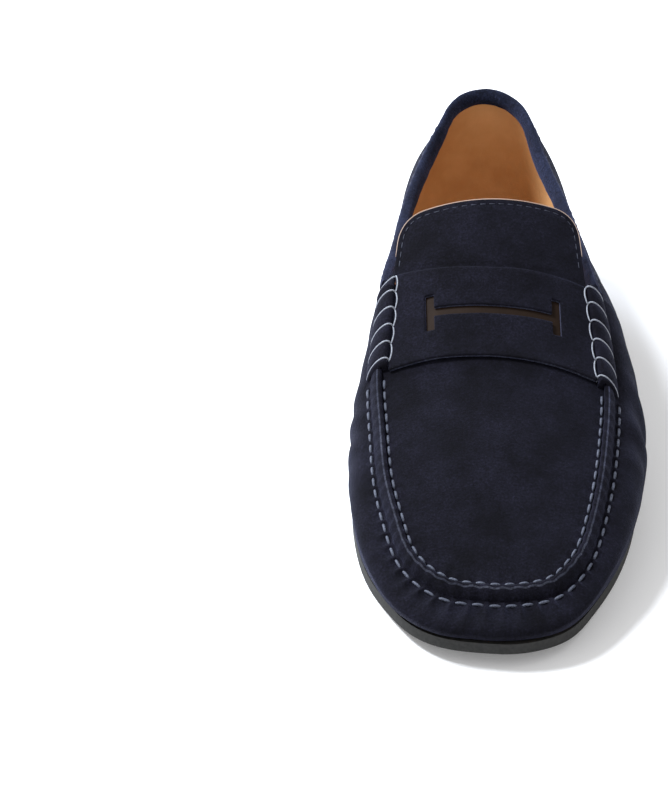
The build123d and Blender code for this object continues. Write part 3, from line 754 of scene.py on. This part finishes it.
front_grids = sheet_grids(SEAM_IN - COUNT, SEAM_OUT, (LINING_DEPTH, SHEETS), LINING_FOOT, 0.9, crease=0.25)
front_lining = shell("vamp_leather_lining", *front_grids)
wear(front_lining, "root", TAN, "tan_leather", "vamp_lining")


def back_strip_grids():
    """The strip over the back seam, 1 mm thick with rounded long edges."""
    s = ring(np.linspace(BACK - 0.3, BACK + 0.3, 15))
    v = np.linspace(0.1, 0.925, 50)[None, :]
    across = np.linspace(-1, 1, 15)[:, None]
    edge = np.clip((1 - np.abs(across)) / 0.2, 0, 1) ** 0.5
    return world(s, *profile(s, v, -0.1 - 0.9 * edge)), world(s, *profile(s, v, -0.06))


back_strip = shell("back_strip_suede", *back_strip_grids(), sharp=80)
wear(back_strip, "root", NAVY, "navy_suede", "back_strip")


# ---- binding over the topline ----
BINDING_OUT, BINDING_IN = 0.935, 0.955


def binding_grids():
    """Outside and inside of the folded binding, its outside tapered towards both cut edges."""
    s = ring(np.linspace(SEAM_OUT + 0.1, SEAM_IN - 0.1, 420))
    v_out, v_in = np.linspace(BINDING_OUT, 1.0, 9)[None, :], np.linspace(1.0, BINDING_IN, 9)[None, :]
    grids = []
    for thick, rise, taper in ((1.0, 2.2, 0.75), (0.06, 1.0, 0.0)):
        r0, z0 = profile(s, v_out, -thick + taper * bell((v_out - BINDING_OUT) / 0.008))
        r1, z1 = profile(s, v_in, SHEETS + thick - taper * bell((v_in - BINDING_IN) / 0.006))
        start, stop = (r0[:, -1:], z0[:, -1:]), (r1[:, :1], z1[:, :1])
        arc_r, arc_z = arch_path(start, stop, np.maximum(start[1], stop[1]) + rise, 17)
        r, z = np.concatenate([r0, arc_r[:, 1:-1], r1], 1), np.concatenate([z0, arc_z[:, 1:-1], z1], 1)
        grids.append(world(s, r, z))
    outer, inner = grids
    soft = 0.22 * wave(outer, 9.0, 5.0) + 0.12 * wave(outer, 3.5, 9.0)
    return outer + soft[..., None] * normals(outer), inner


binding = shell("binding_suede", *binding_grids(), sharp=80)
# the binding wears the lighter suede, its colour a painted sheen
wear(binding, "root", NAVY_PAINTED_SHEEN, "navy_suede", "topline_binding")


# ---- apron ----
LINING_REAR = 148.5
STRAP_FRONT_EDGE = [(-60, 117.6), (-28, 117.6), (-3, 116.3), (26, 113.8), (60, 106.5)]
STRAP_REAR_EDGE = [(-60, 160.5), (-24, 153.2), (0, 150.5), (24, 150.5), (60, 149.6)]


def seam_outline(inset):
    """Plan line inside the upper's top edge, from the inside quarter round the toe to the outside one."""
    s = ring(np.linspace(SEAM_IN - COUNT - 0.45, SEAM_OUT + 0.45, 220))
    return np.concatenate(plan(s, -s.inset - inset), axis=1)


def apron_dent(x, y, gap):
    """Puckers at each stitch along the apron's edge, and broad softness."""
    nearest = np.array([int(((seam_xy - point) ** 2).sum(1).argmin()) for point in zip(x, y)])
    places = seam_places[nearest]
    phase = stitch_phase(places)
    toe = bell((y - 14) / 30)
    pucker = np.cos(2 * math.pi * phase) * (0.10 + 0.14 * toe) * bell((gap - 1.6) / (2.4 + 1.6 * toe))
    pull = -0.40 * bell(stitch_hole(phase) / 0.14) * bell((gap - 1.2) / 0.9)
    soft = 0.30 * flat_wave(x, y, 24.0, 2.2) + 0.10 * flat_wave(x, y, 7.0, 4.4)
    return (pucker + pull) * seam_share(places) + soft


apron_edge = seam_outline(RIDGE_HALF - 0.35)
apron_edge = apron_edge[apron_edge[:, 1] < smooth(STRAP_REAR_EDGE, apron_edge[:, 0]) - 0.2]
apron = cut_sheet("apron_suede", apron_edge, [], instep, SUEDE, step=1.0, edge=0.3, dent=apron_dent)
wear(apron, "root", NAVY, "navy_suede", "apron")

under_edge = seam_outline(RIDGE_HALF + 0.8)
under_edge = under_edge[under_edge[:, 1] < LINING_REAR]
apron_lining = cut_sheet("apron_leather_lining", under_edge, [],
                         lambda x, y: instep(x, y) - SUEDE - 0.5, LINING, step=2.0)
wear(apron_lining, "root", TAN, "tan_leather", "apron_lining")

# ---- saddle strap, its slot and the leather under it ----
STRAP_LOW = 0.72
STRAP = 1.6
STRAP_INSET = RIDGE_HALF + 2.29
SLOT = 3.2
SLIT = 13.7
SLIT_PLACES = [(-24.6, 135.9), (22.6, 134.0)]
SLOT_LINE = [(-24.6, 134.6), (-1, 132.9), (22.6, 132.1)]


def strap_outline():
    """The strap's front edge, outside end, rear edge and inside end."""
    border = seam_outline(STRAP_INSET)
    xs = np.linspace(-60, 60, 241)
    front = np.stack([xs, smooth(STRAP_FRONT_EDGE, xs)], axis=1)
    rear = np.stack([xs, smooth(STRAP_REAR_EDGE, xs)], axis=1)
    front, rear = front[inside(front, border)], rear[inside(rear, border)]
    x, y = border.T
    between = (y > smooth(STRAP_FRONT_EDGE, x) + 0.2) & (y < smooth(STRAP_REAR_EDGE, x) - 0.2)
    outside, medial = border[between & (x > 0)], border[between & (x < 0)]
    outside = outside[np.argsort(outside[:, 1])]
    medial = medial[np.argsort(-medial[:, 1])]
    return np.vstack([front, outside, rear[::-1], medial])


def slot_outline():
    """A long curved slot between two upright slits."""
    (left, left_y), (right, right_y) = SLIT_PLACES
    w, h = SLOT / 2, SLIT / 2
    xs = np.linspace(left + w, right - w, 30)
    low = np.stack([xs, smooth(SLOT_LINE, xs)], axis=1)
    return np.vstack([
        [(left - w, left_y - h), (left + w, left_y - h)],
        low,
        [(right - w, right_y - h), (right + w, right_y - h)],
        [(right + w, right_y + h), (right - w, right_y + h)],
        low[::-1] + [0, SLOT],
        [(left + w, left_y + h), (left - w, left_y + h)],
    ])


def strap_dent(x, y, _):
    """Slight unevenness, the same at any distance from the strap's edge."""
    return 0.22 * flat_wave(x, y, 16.0, 6.6) + 0.07 * flat_wave(x, y, 5.0, 8.8)


def pale_edge(piece, material):
    """The cut edge of a sheet, paler than its face."""
    piece.data.materials.append(material)
    for polygon in piece.data.polygons:
        if len(polygon.vertices) == 4 and abs(polygon.normal.z) < 0.5:
            polygon.material_index = 1


strap = cut_sheet("strap_suede", strap_outline(), [slot_outline()],
                  lambda x, y: instep(x, y) + STRAP_LOW + STRAP, STRAP, step=0.9, edge=0.5, dent=strap_dent)
wear(strap, "root", NAVY, "navy_suede", "saddle_strap")
pale_edge(strap, NAVY_EDGE_AND_HIGHLIGHT)

PAD_CENTRE = (-1, 134.8)
PAD_HALF = (30, 11)
PAD = 0.6
pad = [[centre + half * sign for centre, half, sign in zip(PAD_CENTRE, PAD_HALF, signs)]
       for signs in ((-1, -1), (1, -1), (1, 1), (-1, 1))]
underlay = cut_sheet("strap_underlay_leather", pad, [], lambda x, y: instep(x, y) + PAD + 0.06, PAD, step=1.6)
wear(underlay, "root", BROWN, "brown_leather", "strap_underlay")

# ---- tongue ----
TONGUE_LOW = 0.4
TONGUE_REAR = [(32.4, 179.8, True), (-34.5, 178.4, True)]


def rounded(corners, radius):
    """Closed outline through corners, each as (x, y, whether it is round)."""
    points = []
    for k, (x, y, turn) in enumerate(corners):
        here = np.array([x, y])
        if not turn:
            points.append(here)
            continue
        before, after = (np.array(corners[(k + d) % len(corners)][:2]) - here for d in (-1, 1))
        a = here + before / np.linalg.norm(before) * radius
        b = here + after / np.linalg.norm(after) * radius
        points += [a * (1 - t) ** 2 + here * 2 * t * (1 - t) + b * t * t for t in np.linspace(0, 1, 12)]
    return np.array(points)


xs = np.linspace(-38, 35, 60)
front = [(x, float(smooth(STRAP_REAR_EDGE, x)) + 0.45, False) for x in xs]
tongue_edge = rounded(front + TONGUE_REAR, 9.0)
STITCH_MARGIN = 1.9


def tongue_dent(x, y, gap):
    """Unevenness, and the groove that the stitches lie in."""
    return 0.25 * flat_wave(x, y, 14.0, 3.6) - 0.28 * bell((gap - STITCH_MARGIN) / 0.5)


tongue = cut_sheet("tongue_suede", tongue_edge, [], lambda x, y: instep(x, y) + TONGUE_LOW, SUEDE, step=0.8,
                   edge=0.4, dent=tongue_dent)
wear(tongue, "tongue", NAVY, "navy_suede", "tongue")
pale_edge(tongue, TAN_EDGE)
tongue_under = cut_sheet("tongue_leather_lining", offset_ring(anticlockwise(tongue_edge), 0.8), [],
                         lambda x, y: instep(x, y) + TONGUE_LOW - SUEDE - 0.06, LINING, step=1.2, edge=0.3)
wear(tongue_under, "tongue", TAN, "tan_leather", "tongue_lining")


def on_tongue(outline, lift):
    """Points on the tongue's face, raised by a distance."""
    x, y = outline.T
    return np.stack([x - X_MID, y + Y_TOE, instep(x, y) + TONGUE_LOW + lift], axis=1)


def rear_rim(outline, start):
    """The part of the tongue's edge behind a distance from the toe, in order across the shoe."""
    rim = outline[outline[:, 1] > start]
    return rim[np.argsort(np.arctan2(rim[:, 1] - 150, rim[:, 0]))]


rim = anticlockwise(resample(tongue_edge, 0.7))
edge_path = on_tongue(rear_rim(rim, 164.0), -0.12)
edge_line = tubes("tongue_cut_edge", [edge_path], thread_radius(len(edge_path), 0.19))
wear(edge_line, "tongue", TAN_EDGE, "tan_leather")
stitch_rim = rear_rim(offset_ring(rim, STITCH_MARGIN), 159.0)
stitches = [on_tongue(stitch_rim[k:k + 4], -0.22) for k in range(0, len(stitch_rim) - 4, 5)]
wear(tubes("tongue_stitches", stitches, 0.17), "tongue", THREAD_DARK, "thread")


# ---- the strap's rolled ends and their whip stitches ----
WHIPS = 6
WHIP_POINTS = 25
WHIP_LEAN = 0.035
ROLL_INSIDE = 0.3
ROLL_COVER = 0.4
ROLL_THIN = 0.75
ROLL_FOOT = 2.35
ROLL_PAST_STRAP = 0.13


def cap_path(s, extra, foot):
    """Profile points over the raised seam, at a distance from it; foot is that distance beside the strap."""
    stop_r = -s.inset - RIDGE_HALF - foot
    start = s.top_r + extra, s.top_z - 2.1
    stop = stop_r, instep(*plan(s, stop_r)) + 0.12
    return arch_path(start, stop, s.edge + smooth(RIDGE_RISE, s.edge_y) + extra, WHIP_POINTS, 0.9)


def roll_grids(places, whip_places):
    """Outside and inside of a rolled end that swells between its whip stitches and closes at both ends."""
    s = ring(places)
    pitch = whip_places[1] - whip_places[0]
    gap = np.abs(places[:, None] - whip_places[None, :]).min(1)[:, None] / pitch
    swell = 1.05 * np.sqrt(np.clip(1 - (1 - 2 * gap) ** 2, 0, 1))
    ends = np.clip(np.minimum(places - places[0], places[-1] - places)[:, None] / 0.07, 0, 1)
    cover = 0.15 + (ROLL_THIN * (1 + swell) - 0.15) * np.sqrt(np.clip(1 - (1 - ends) ** 2, 0, 1))
    outer = world(s, *cap_path(s, ROLL_COVER + cover, ROLL_FOOT))
    inner = world(s, *cap_path(s, ROLL_INSIDE, ROLL_INSIDE))
    return outer + (0.12 * wave(outer, 5.0, 2.0))[..., None] * normals(outer), inner


def whip_path(place, lean):
    """One whip stitch over the roll, leaning along the seam, its ends sunk in the leather."""
    s = ring(place + np.linspace(-lean, lean, WHIP_POINTS))
    r, z = (np.diagonal(grid)[:, None] for grid in cap_path(s, ROLL_COVER + ROLL_THIN + 0.33, 2.6))
    path = world(s, r, z)[:, 0]
    path[0, 2] -= 0.6
    path[-1, 2] -= 0.9
    return path


def edging_path(a, b):
    """The thread between two whip stitches, bowed over the strap's edge."""
    t = np.linspace(0, 1, 13)
    s = ring(a + (b - a) * t)
    out = -s.inset - RIDGE_HALF - 2.7 - 0.6 * np.sin(math.pi * t)[:, None]
    z = instep(*plan(s, out)) + STRAP_LOW + STRAP + 0.12 - 0.5 * (np.abs(2 * t - 1) ** 6)[:, None]
    return world(s, out, z)[:, 0]


for side, first, last, lean in (
    ("lateral", ROLL_OUT[0], ROLL_OUT[1] + ROLL_PAST_STRAP, WHIP_LEAN),
    ("medial", ROLL_IN[0] - ROLL_PAST_STRAP, ROLL_IN[1], -WHIP_LEAN),
):
    whip_places = np.linspace(first + 0.1, last - 0.1, WHIPS)
    grids = roll_grids(np.linspace(first, last, 120), whip_places)
    roll = shell(f"strap_roll_{side}_suede", *grids, sharp=80)
    wear(roll, "root", NAVY, "navy_suede", f"strap_roll_{side}")
    bows = [edging_path(a, b) for a, b in zip(whip_places, whip_places[1:])]
    edging = tubes(f"roll_edging_{side}_thread", bows, 0.27)
    wear(edging, "root", THREAD_PALE, "thread")
    whips = tubes(f"roll_stitches_{side}_thread", [whip_path(place, lean) for place in whip_places], 0.34)
    wear(whips, "root", THREAD_PALE, "thread", f"roll_stitches_{side}")


# ---- seam threads ----
STITCH_POINTS = 9
BINDING_STITCHES = 58


def stitch_paths(places, points_of, length):
    """Stitches centred on places, each following its row and sinking at both ends."""
    paths = []
    for place in places:
        inset = -ring([place]).inset
        near = np.concatenate(plan(ring([place - 0.02, place + 0.02]), inset), 1)
        half = length / 2 / float(np.linalg.norm(np.diff(near, axis=0))) * 0.04
        t = np.linspace(-1, 1, STITCH_POINTS)
        paths.append(points_of(ring(place + half * t), 0.16 - 0.75 * np.abs(t)[:, None] ** 3))
    return paths


def inner_row(s, lift):
    """Points on the apron, beside the ridge."""
    out = -s.inset - RIDGE_HALF - 1.0
    return world(s, out, instep(*plan(s, out)) + lift + 0.25 * bell((s.y - 10) / 30))[:, 0]


def outer_row(s, lift):
    """Points on the wall, just under the ridge."""
    return world(s, *profile(s, np.full_like(s.place, SEAM_V - 0.02), -lift - 0.1))[:, 0]


def binding_row(s, lift):
    """Points on the binding, near its lower edge."""
    return world(s, *profile(s, np.full_like(s.place, 0.946), -0.88 - lift * 0.3))[:, 0]


seam_stitches = place_at(np.arange(1, STITCHES - 1))
for name, row in (("inner", inner_row), ("outer", outer_row)):
    paths = stitch_paths(seam_stitches, row, length=4.1)
    thread = tubes(f"seam_{name}_thread", paths, thread_radius(STITCH_POINTS, 0.55))
    wear(thread, "root", THREAD_NAVY, "thread", f"seam_thread_{name}")

topline_places = np.linspace(SEAM_OUT + 0.5, SEAM_IN - 0.5, 400)
topline = ring(topline_places)
topline_walked = distances(np.concatenate(plan(topline, -topline.inset), 1))
binding_walked = np.linspace(0, topline_walked[-1], BINDING_STITCHES)
binding_places = np.interp(binding_walked, topline_walked, topline_places)
paths = stitch_paths(binding_places, binding_row, length=2.8)
thread = tubes("binding_stitches", paths, thread_radius(STITCH_POINTS, 0.19))
wear(thread, "root", THREAD_NAVY, "thread", "binding_thread")


# ---- bottom unit ----
FOREPART_INSET = [(0, -14.4), (25, -12.6), (60, -6.0), (110, 0.0)]
FOREPART_END = 110
SOCK_BOTTOM = 3.8
HEEL_PAD_FRONT = 230.0


def lining_reach(s, height):
    """How far out the lining's inside is at a height above the sole, from the feather line."""
    r, z = profile(s, np.linspace(0.02, 0.6, 60)[None, :], SHEETS)
    at = (s.foot - FOOT_GAP + height)[:, 0]
    return np.array([[np.interp(h, heights, outs)] for h, heights, outs in zip(at, z, r)])


def sole_sheet(name, height, top_gap, clearance, edge, front=0.0):
    """Sheet inside the shoe, out to the lining at a height, its top a distance above the sole's."""
    s = ring(np.arange(0, COUNT, 0.1))
    forepart = np.where(s.y < FOREPART_END, smooth(FOREPART_INSET, s.y), np.inf)
    outline = np.concatenate(plan(s, np.minimum(lining_reach(s, height) - clearance, forepart)), axis=1)
    outline = outline[outline[:, 1] >= front]
    return cut_sheet(name, outline, [], lambda x, y: smooth(SOLE_TOP, y) + top_gap, top_gap - SOCK_BOTTOM,
                     step=1.6, edge=edge)


sock = sole_sheet("sock_leather", 4.6, 4.9, clearance=-0.2, edge=0.5)
wear(sock, "root", TAN, "tan_leather", "sock_lining")
heel_pad = sole_sheet("heel_pad_leather", 6.0, 6.6, clearance=1.5, edge=1.3, front=HEEL_PAD_FRONT)
wear(heel_pad, "root", TAN, "tan_leather", "heel_pad")

# the CAD's outsole, thinner and narrower at the toe
TOE_THINNING = 0.16
source = frame["nodes"]["outsole"].data
points = np.array([tuple(vertex.co) for vertex in source.vertices]) / MM
behind = points[:, 1] - Y_TOE
sole_top = smooth(SOLE_TOP, behind)
points[:, 2] = sole_top - (sole_top - points[:, 2]) * (1 - TOE_THINNING * bell(behind / 50))
faces = [tuple(polygon.vertices) for polygon in source.polygons]
sole = make_mesh("outsole_rubber", narrow(points), faces, 40)
wear(sole, "root", SOLE, "sole_rubber", "outsole")

for name, material in (
    ("heel_lift", SOLE), ("heel_top_piece", HEEL), ("insole_board", BOARD), ("heel_nails", STEEL),
    ("forefoot_filler", CORK), ("steel_shank", STEEL), ("heel_counter", BOARD), ("toe_puff", BOARD),
):
    node = frame["nodes"][name]
    for k in range(len(node.material_slots)):
        node.material_slots[k].material = material

# ---- floor and lights; the lamps stand in metres ----
FLOOR = [(-2500, -2500, 0), (2500, -2500, 0), (2500, 6000, 0), (-2500, 6000, 0)]
LAMP_AIM = (0, 0, 0.04)
floor_material = matt("pale_floor", (0.86, 0.86, 0.87), (0.90, 0.90, 0.91), 3, rough=0.9, strength=0.0)
glow = floor_material.node_tree.nodes["Principled BSDF"]
glow.inputs["Emission Color"].default_value = (1, 1, 1, 1)
glow.inputs["Emission Strength"].default_value = 0.14
floor = make_mesh("floor", FLOOR, [(0, 1, 2, 3)])
floor.data.materials.append(floor_material)

scene = bpy.context.scene
scene.view_settings.view_transform = "Standard"
scene.world = bpy.data.worlds.new("studio")
scene.world.use_nodes = True
sky = scene.world.node_tree.nodes["Background"]
sky.inputs["Color"].default_value = (1, 1, 1, 1)
sky.inputs["Strength"].default_value = 0.74


def area_light(name, place, size, power, colour):
    """A round soft lamp that looks at the shoe."""
    data = bpy.data.lights.new(name, "AREA")
    data.shape = "DISK"
    data.size = size
    data.energy = power
    data.color = colour
    lamp = bpy.data.objects.new(name, data)
    lamp.location = place
    lamp.rotation_euler = (Vector(LAMP_AIM) - Vector(place)).to_track_quat("-Z", "Y").to_euler()
    scene.collection.objects.link(lamp)


area_light("key", (-1.05, 0.30, 1.55), size=0.55, power=58, colour=(0.90, 0.95, 1.0))
area_light("rim", (-0.9, 1.3, 0.9), size=0.8, power=26, colour=(0.80, 0.88, 1.0))
